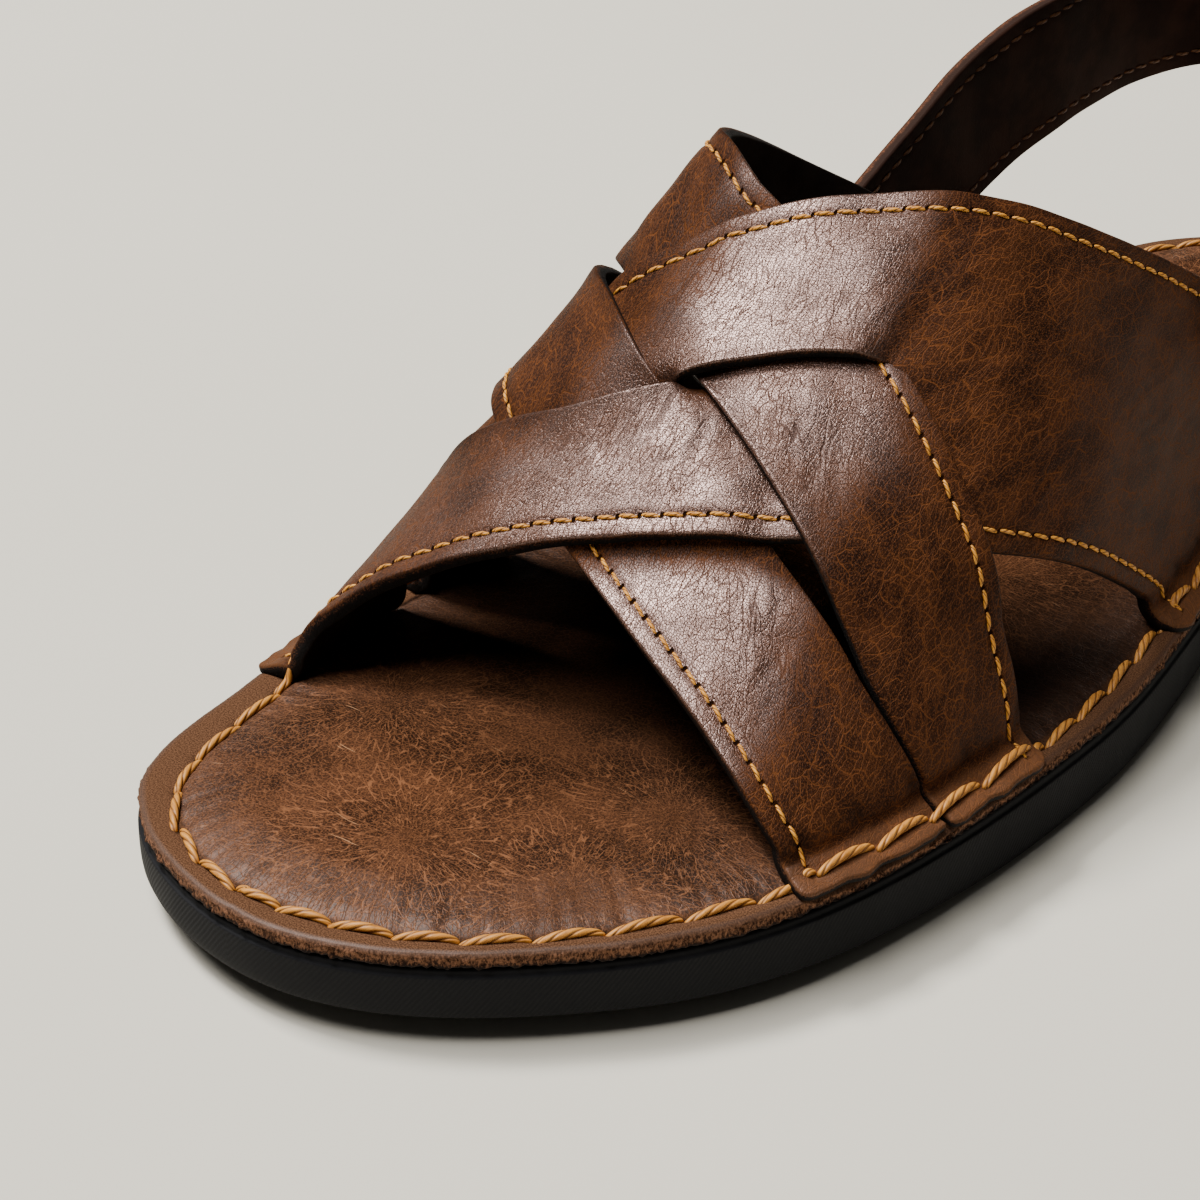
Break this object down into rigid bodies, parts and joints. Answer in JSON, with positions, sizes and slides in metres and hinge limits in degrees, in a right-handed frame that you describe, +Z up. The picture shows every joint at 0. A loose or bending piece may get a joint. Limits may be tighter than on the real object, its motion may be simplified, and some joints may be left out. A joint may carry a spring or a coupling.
{
  "type": "leather sandal",
  "caption": "Left leather sandal with a rubber outsole, a padded leather insole, slit straps woven over the forefoot and a strap round the heel.",
  "frame": {"origin": "middle of the sole's outline, on the floor", "axes": "+X to the outer side of the foot, +Y from toe to heel, +Z up"},
  "size_m": [0.1058, 0.2856, 0.0812],
  "materials": {
    "rubber": "matt black moulded rubber with fine slanting ribs on its side",
    "footbed_leather": "waxed brown leather, matt, crackled grain and a raw edge",
    "strap_leather": "waxed brown pull-up leather, pebbled grain, soft gloss, dark raw edges",
    "heel_strap_leather": "the same brown leather, dark on its inner side",
    "thread": "golden tan twisted waxed thread"
  },
  "bodies": {
    "root": {"outsole": "rubber", "insole": "footbed_leather", "upper": "strap_leather", "heel_strap": "heel_strap_leather"}
  },
  "joints": []
}
